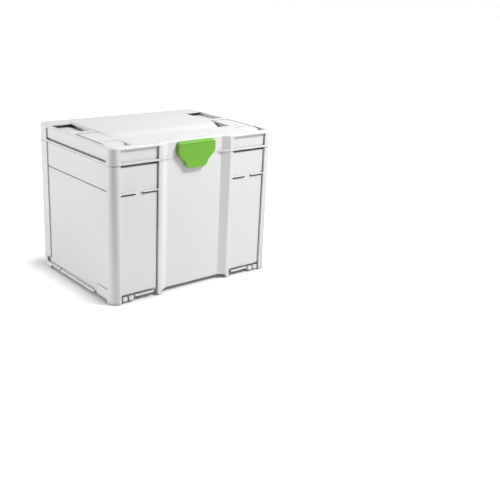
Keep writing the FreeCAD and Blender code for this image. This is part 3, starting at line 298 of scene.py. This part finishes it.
# The lid's colour gets painted shade in its gaps and recesses, reaching further than the housing's.
LID_PAINTED_SHADE_REACH = 0.016
LID_PAINTED_SHADE_END = 0.78
ABOVE_LID = 316.0
ARM_SLOT_INNER = 144.6
ARM_SLOT_OUTER = 192.5
ARM_SLOT_FRONT = -1.0
ARM_SLOT_REAR = 2.0
ARM_SLOT_FLOOR = 301.0
PANEL_GROOVE_HALF_LENGTH = 135.5
PANEL_GROOVE_FRONT = 117.9
PANEL_GROOVE_REAR = 121.4
PANEL_GROOVE_FLOOR = 312.2

lid_plastic = moulded_plastic("lid_plastic", CASE_GREY, HOUSING_ROUGHNESS, HOUSING_GRAIN,
                              HOUSING_GRAIN_HEIGHT, HOUSING_EDGE, painted_shade_reach=LID_PAINTED_SHADE_REACH,
                              painted_shade_end=LID_PAINTED_SHADE_END)
arm_slots = block_pair((ARM_SLOT_INNER, ARM_SLOT_FRONT, ARM_SLOT_FLOOR),
                       (ARM_SLOT_OUTER, ARM_SLOT_REAR, ABOVE_LID))
panel_groove = block((-PANEL_GROOVE_HALF_LENGTH, PANEL_GROOVE_FRONT, PANEL_GROOVE_FLOOR),
                     (PANEL_GROOVE_HALF_LENGTH, PANEL_GROOVE_REAR, ABOVE_LID))
carved("lid_shell", [arm_slots, panel_groove], lid_plastic, "lid")


# Carry handle.
# One U-shaped moulding that lies flush in the lid's top and folds up on two pins. Hands
# polish it, so its skin is smoother than the housing's. A copy stands for it, with wider
# gaps beside the arms, rounder arm tips and a wider line across each arm, in mm.

HANDLE_ROUGHNESS = 0.42
HANDLE_GRAIN = 3000.0
HANDLE_GRAIN_HEIGHT = 0.00004
HANDLE_EDGE = 0.0009
# The handle's colour gets the strongest painted shade in its gaps, reaching furthest of all.
HANDLE_PAINTED_SHADE_REACH = 0.03
HANDLE_PAINTED_SHADE_END = 0.9

BELOW_HANDLE = 296.0
ABOVE_HANDLE = 318.0
BEHIND_ARMS = 5.0
OUTER_GAP_INNER = 188.2
OUTER_GAP_OUTER = 195.0
OUTER_GAP_FRONT = -120.0
INNER_GAP_INNER = 144.0
INNER_GAP_OUTER = 146.7
INNER_GAP_FRONT = -61.5
TIP_START = -108.0
TIP_RADIUS = 14.5
TIP_INNER = 140.0
TIP_OUTER = 196.0
TIP_TOP = 314.0
TIP_STEPS = 13
TIP_BELOW = 6.0
TIP_BEYOND = 9.0
TIP_ABOVE = 3.0
ARM_LINE_INNER = 144.0
ARM_LINE_OUTER = 175.3
ARM_LINE_FRONT = -87.6
ARM_LINE_REAR = -84.6
ARM_LINE_FLOOR = 312.0


def tip_cutter(start_y, radius, low_x, high_x, top):
    """What lies outside a quarter round on the tips of both arms, in mm, carried along x.

    With t from 0 to 90 degrees the round has y = start_y - radius sin t and
    z = top - radius + radius cos t, and four corners close the profile outside the tip."""
    turns = np.linspace(0.0, np.pi / 2, TIP_STEPS)
    curve = np.stack([start_y - radius * np.sin(turns), top - radius + radius * np.cos(turns)], axis=1)
    end_y = start_y - radius
    end_z = top - radius
    corners = np.array([(end_y, end_z - TIP_BELOW), (end_y - TIP_BEYOND, end_z - TIP_BELOW),
                        (end_y - TIP_BEYOND, top + TIP_ABOVE), (start_y, top + TIP_ABOVE)])
    profile = np.concatenate([curve, corners])
    count = len(profile)
    points = np.empty((2, 2, count, 3))
    points[..., 0] = np.array([(low_x, high_x), (-high_x, -low_x)])[:, :, None]
    points[..., 1:] = profile
    here = np.arange(count)
    after = (here + 1) % count
    sides = np.stack([here, after, count + after, count + here], axis=1)
    caps = np.stack([here[::-1], count + here])
    faces = []
    for first in (0, 2 * count):
        faces += (first + sides).tolist() + (first + caps).tolist()
    return points.reshape(-1, 3) / MM_PER_METRE, faces


handle_plastic = moulded_plastic("handle_plastic", CASE_GREY, HANDLE_ROUGHNESS, HANDLE_GRAIN,
                                 HANDLE_GRAIN_HEIGHT, HANDLE_EDGE, painted_shade_reach=HANDLE_PAINTED_SHADE_REACH,
                                 painted_shade_end=HANDLE_PAINTED_SHADE_END)
outer_gaps = block_pair((OUTER_GAP_INNER, OUTER_GAP_FRONT, BELOW_HANDLE),
                        (OUTER_GAP_OUTER, BEHIND_ARMS, ABOVE_HANDLE))
inner_gaps = block_pair((INNER_GAP_INNER, INNER_GAP_FRONT, BELOW_HANDLE),
                        (INNER_GAP_OUTER, BEHIND_ARMS, ABOVE_HANDLE))
round_tips = tip_cutter(TIP_START, TIP_RADIUS, TIP_INNER, TIP_OUTER, TIP_TOP)
arm_lines = block_pair((ARM_LINE_INNER, ARM_LINE_FRONT, ARM_LINE_FLOOR),
                       (ARM_LINE_OUTER, ARM_LINE_REAR, ABOVE_LID))
carved("carry_handle", [outer_gaps, inner_gaps, round_tips, arm_lines], handle_plastic, "handle")


# Latch knob.
# The T-shaped knob is moulded in a satin green plastic that is coloured through. It turns
# on its shaft in the lid's front wall. A copy stands for it, with a thin groove under the
# top bevel, in mm.

LATCH_GREEN = (0.185, 0.50, 0.046)
LATCH_ROUGHNESS = 0.34
LATCH_GRAIN = 3400.0
LATCH_GRAIN_HEIGHT = 0.00003
LATCH_EDGE = 0.0008
LATCH_SPREAD = 0.03
KNOB_GROOVE_HALF_LENGTH = 43.0
KNOB_GROOVE_FRONT = -148.0
KNOB_GROOVE_REAR = -145.9
KNOB_GROOVE_LOW = 305.1
KNOB_GROOVE_HIGH = 306.0

# Its colour gets painted shade in gaps at the housing's settings.
latch_plastic = moulded_plastic("latch_plastic", LATCH_GREEN, LATCH_ROUGHNESS, LATCH_GRAIN,
                                LATCH_GRAIN_HEIGHT, LATCH_EDGE, LATCH_SPREAD)
knob_groove = block((-KNOB_GROOVE_HALF_LENGTH, KNOB_GROOVE_FRONT, KNOB_GROOVE_LOW),
                    (KNOB_GROOVE_HALF_LENGTH, KNOB_GROOVE_REAR, KNOB_GROOVE_HIGH))
carved("latch_knob", [knob_groove], latch_plastic, "latch")


# Latch bush, cam and cover.
# Three small mouldings in dark satin plastic behind the knob: the flanged bush in the
# wall, the notched cam on the shaft, and the cover that is screwed over them.

DARK_PLASTIC = (0.06, 0.06, 0.065)
DARK_ROUGHNESS = 0.40
DARK_EDGE = 0.0004
DARK_SPREAD = 0.06

# Its colour gets painted shade in gaps at the housing's settings.
inner_plastic = moulded_plastic("inner_plastic", DARK_PLASTIC, DARK_ROUGHNESS, HANDLE_GRAIN,
                                HANDLE_GRAIN_HEIGHT, DARK_EDGE, DARK_SPREAD)
dress(["latch_bush", "latch_cam", "latch_cover"], inner_plastic)


# Hinge brackets.
# Two grey plates with knuckles, screwed into pockets of the rear wall. Their edges are
# sharper than the housing's.

BRACKET_EDGE = 0.0005

# Its colour gets painted shade in gaps at the housing's settings.
hinge_plastic = moulded_plastic("hinge_plastic", CASE_GREY, HANDLE_ROUGHNESS, HANDLE_GRAIN,
                                HANDLE_GRAIN_HEIGHT, BRACKET_EDGE)
dress(["hinge_bracket_left", "hinge_bracket_right"], hinge_plastic)


# Pins, screws and spring.
# Small zinc-plated steel pieces: the hinge and handle pins, the screws, and the leaf
# spring under the cam. Drawing leaves faint streaks along them.

STEEL = (0.62, 0.62, 0.63)
STEEL_DARK_SHARE = 0.88
STEEL_STREAKS = 900.0
STREAK_DETAIL = 3.0
STREAK_ROUGHNESS = 0.6
STREAK_STRETCH = (0.05, 1.0, 1.0)
STEEL_PATCHES = 160.0
PATCH_DETAIL = 2.0
PATCH_ROUGHNESS = 0.5
STEEL_GLOSS_LOW = 0.26
STEEL_GLOSS_HIGH = 0.44
STEEL_BUMP = 0.00004
STEEL_BUMP_STRENGTH = 0.2


def plated_steel(name, colour):
    """Zinc-plated steel: faint drawing marks along the piece and patchy gloss."""
    material, tree, shader, coords = new_material(name)
    streaks = noise(tree, coords, STEEL_STREAKS, STREAK_DETAIL, STREAK_ROUGHNESS, STREAK_STRETCH)
    patches = noise(tree, coords, STEEL_PATCHES, PATCH_DETAIL, PATCH_ROUGHNESS)
    tint = ramp(tree, patches.outputs["Fac"], tuple(c * STEEL_DARK_SHARE for c in colour), colour)
    tree.links.new(tint.outputs["Color"], shader.inputs["Base Color"])
    gloss = number_range(tree, streaks.outputs["Fac"], STEEL_GLOSS_LOW, STEEL_GLOSS_HIGH)
    tree.links.new(gloss.outputs["Result"], shader.inputs["Roughness"])
    marks = bump(tree, streaks.outputs["Fac"], STEEL_BUMP_STRENGTH, STEEL_BUMP)
    tree.links.new(marks.outputs["Normal"], shader.inputs["Normal"])
    shader.inputs["Metallic"].default_value = 1.0
    return material


steel = plated_steel("plated_steel", STEEL)
dress(["handle_pin_left", "handle_pin_right", "hinge_pin_left", "hinge_pin_right", "hinge_screws",
       "latch_screw", "latch_detent_spring", "latch_spring_screws", "latch_cover_screws"], steel)


# Floor.
# A pale floor that keeps the shadow beside the case's foot, and that the camera sees as
# plain white further off. Its lengths and places are in metres.

FLOOR_HALF = 12.0
FLOOR_DARK = (0.88, 0.88, 0.88)
FLOOR_LIGHT = (0.90, 0.90, 0.90)
FLOOR_GRAIN = 40.0
FLOOR_DETAIL = 3.0
FLOOR_GRAIN_ROUGHNESS = 0.5
FLOOR_ROUGHNESS = 0.9
FLOOR_SPECULAR = 0.1
FOOT_HALF_LENGTH = 0.19
FOOT_HALF_DEPTH = 0.14
SHADOW_START = 0.0
SHADOW_END = 0.09
GLOW_AT_FOOT = 0.02


def vector_maths(tree, operation, source, second=None):
    """A vector maths node on a source, with a second vector where one is given."""
    node = tree.nodes.new("ShaderNodeVectorMath")
    node.operation = operation
    if second is not None:
        node.inputs[1].default_value = second
    tree.links.new(source, node.inputs[0])
    return node


def distance_from_foot(tree, coords):
    """How far a floor point lies outside the foot: the length of max(|place| - half size, 0)."""
    folded = vector_maths(tree, "ABSOLUTE", coords.outputs["Object"])
    outside = vector_maths(tree, "SUBTRACT", folded.outputs["Vector"],
                           (FOOT_HALF_LENGTH, FOOT_HALF_DEPTH, 0.0))
    clipped = vector_maths(tree, "MAXIMUM", outside.outputs["Vector"])
    return vector_maths(tree, "LENGTH", clipped.outputs["Vector"])


def pale_ground():
    """A nearly white floor that camera rays see glow, faintly by the foot, fully further off."""
    half = FLOOR_HALF
    mesh = bpy.data.meshes.new("floor")
    mesh.from_pydata([(-half, -half, 0), (half, -half, 0), (half, half, 0), (-half, half, 0)], [],
                     [(0, 1, 2, 3)])
    floor = bpy.data.objects.new("floor", mesh)
    bpy.context.collection.objects.link(floor)
    material, tree, shader, coords = new_material("pale_floor")
    grain = noise(tree, coords, FLOOR_GRAIN, FLOOR_DETAIL, FLOOR_GRAIN_ROUGHNESS)
    tint = ramp(tree, grain.outputs["Fac"], FLOOR_DARK, FLOOR_LIGHT)
    tree.links.new(tint.outputs["Color"], shader.inputs["Base Color"])
    shader.inputs["Roughness"].default_value = FLOOR_ROUGHNESS
    shader.inputs["Specular IOR Level"].default_value = FLOOR_SPECULAR
    away = distance_from_foot(tree, coords)
    glow_share = number_range(tree, away.outputs["Value"], GLOW_AT_FOOT, 1.0, SHADOW_START, SHADOW_END)
    path = tree.nodes.new("ShaderNodeLightPath")
    share = tree.nodes.new("ShaderNodeMath")
    share.operation = "MULTIPLY"
    tree.links.new(glow_share.outputs["Result"], share.inputs[0])
    tree.links.new(path.outputs["Is Camera Ray"], share.inputs[1])
    glow = tree.nodes.new("ShaderNodeEmission")
    tree.links.new(share.outputs["Value"], glow.inputs["Strength"])
    both = tree.nodes.new("ShaderNodeAddShader")
    tree.links.new(shader.outputs["BSDF"], both.inputs[0])
    tree.links.new(glow.outputs["Emission"], both.inputs[1])
    output = next(node for node in tree.nodes if node.type == "OUTPUT_MATERIAL")
    tree.links.new(both.outputs["Shader"], output.inputs["Surface"])
    mesh.materials.append(material)


pale_ground()


# World.
# Faint light from all round on the object, and plain white where a camera, mirror or
# glass ray meets it.

AMBIENT = 0.03
SEEN_WHITE = 1.0


def studio_world():
    """A world that lights at one strength and is seen at another."""
    world = bpy.data.worlds.new("studio")
    bpy.context.scene.world = world
    world.use_nodes = True
    tree = world.node_tree
    tree.nodes.clear()
    output = tree.nodes.new("ShaderNodeOutputWorld")
    backgrounds = []
    for strength in (AMBIENT, SEEN_WHITE):
        background = tree.nodes.new("ShaderNodeBackground")
        background.inputs["Color"].default_value = (1.0, 1.0, 1.0, 1.0)
        background.inputs["Strength"].default_value = strength
        backgrounds.append(background)
    path = tree.nodes.new("ShaderNodeLightPath")
    seen_by = path.outputs["Is Camera Ray"]
    for ray in ("Is Glossy Ray", "Is Transmission Ray"):
        either = tree.nodes.new("ShaderNodeMath")
        either.operation = "MAXIMUM"
        tree.links.new(seen_by, either.inputs[0])
        tree.links.new(path.outputs[ray], either.inputs[1])
        seen_by = either.outputs["Value"]
    mix = tree.nodes.new("ShaderNodeMixShader")
    tree.links.new(seen_by, mix.inputs["Fac"])
    tree.links.new(backgrounds[0].outputs["Background"], mix.inputs[1])
    tree.links.new(backgrounds[1].outputs["Background"], mix.inputs[2])
    tree.links.new(mix.outputs["Shader"], output.inputs["Surface"])


studio_world()


# Lights.
# Four soft boxes: a high one from the front right, whose shadows fall down the front, a
# lower one in front, a broad one from the left and rear, and one overhead.

LIGHTS = {
    "high_right": {"place": (0.70, -0.90, 1.40), "target": (0.0, -0.05, 0.2), "size": 0.45, "power": 25.0},
    "low_front": {"place": (0.25, -2.50, 0.75), "target": (0.0, 0.0, 0.15), "size": 1.0, "power": 4.5},
    "left_rear": {"place": (-2.18, 1.15, 0.66), "target": (0.0, 0.0, 0.15), "size": 1.3, "power": 40.0},
    "top": {"place": (0.0, 0.3, 2.75), "target": (0.0, 0.0, 0.3), "size": 1.4, "power": 12.5},
}


def soft_box(name, place, target, size, power):
    """A square area light that looks at a target."""
    data = bpy.data.lights.new(name, "AREA")
    data.shape = "SQUARE"
    data.size = size
    data.energy = power
    light = bpy.data.objects.new(name, data)
    light.location = place
    direction = Vector(target) - Vector(place)
    light.rotation_euler = direction.to_track_quat("-Z", "Y").to_euler()
    bpy.context.collection.objects.link(light)


for light_name, light_values in LIGHTS.items():
    soft_box(light_name, **light_values)


# Camera.
# Fitted to points and edges of the case in the photograph, with the lens centre held in
# the middle of the 500 px frame. Its place is in metres and its angles are in degrees.

CAMERA_PLACE = (-0.9287, -1.3771, 0.6312)
CAMERA_YAW = 41.291
CAMERA_PITCH = 19.511
CAMERA_ROLL = 2.959
FOCAL_PIXELS = 785.8
FRAME_PIXELS = 500.0
SENSOR_WIDTH = 36.0


def photo_camera():
    """A camera at the photograph's angle, from its yaw, pitch, roll and focal length."""
    yaw = math.radians(CAMERA_YAW)
    pitch = math.radians(CAMERA_PITCH)
    roll = math.radians(CAMERA_ROLL)
    forward = Vector((math.sin(yaw) * math.cos(pitch), math.cos(yaw) * math.cos(pitch), -math.sin(pitch)))
    right = Vector((math.cos(yaw), -math.sin(yaw), 0.0))
    up = right.cross(forward)
    turned_right = right * math.cos(roll) + up * math.sin(roll)
    turned_up = -right * math.sin(roll) + up * math.cos(roll)
    data = bpy.data.cameras.new("photo_camera")
    data.sensor_width = SENSOR_WIDTH
    data.lens = FOCAL_PIXELS / FRAME_PIXELS * SENSOR_WIDTH
    camera = bpy.data.objects.new("photo_camera", data)
    matrix = Matrix((turned_right, turned_up, -forward)).transposed().to_4x4()
    matrix.translation = Vector(CAMERA_PLACE)
    camera.matrix_world = matrix
    bpy.context.collection.objects.link(camera)
    return camera


bpy.context.scene.camera = photo_camera()
bpy.context.scene.view_settings.view_transform = "Standard"
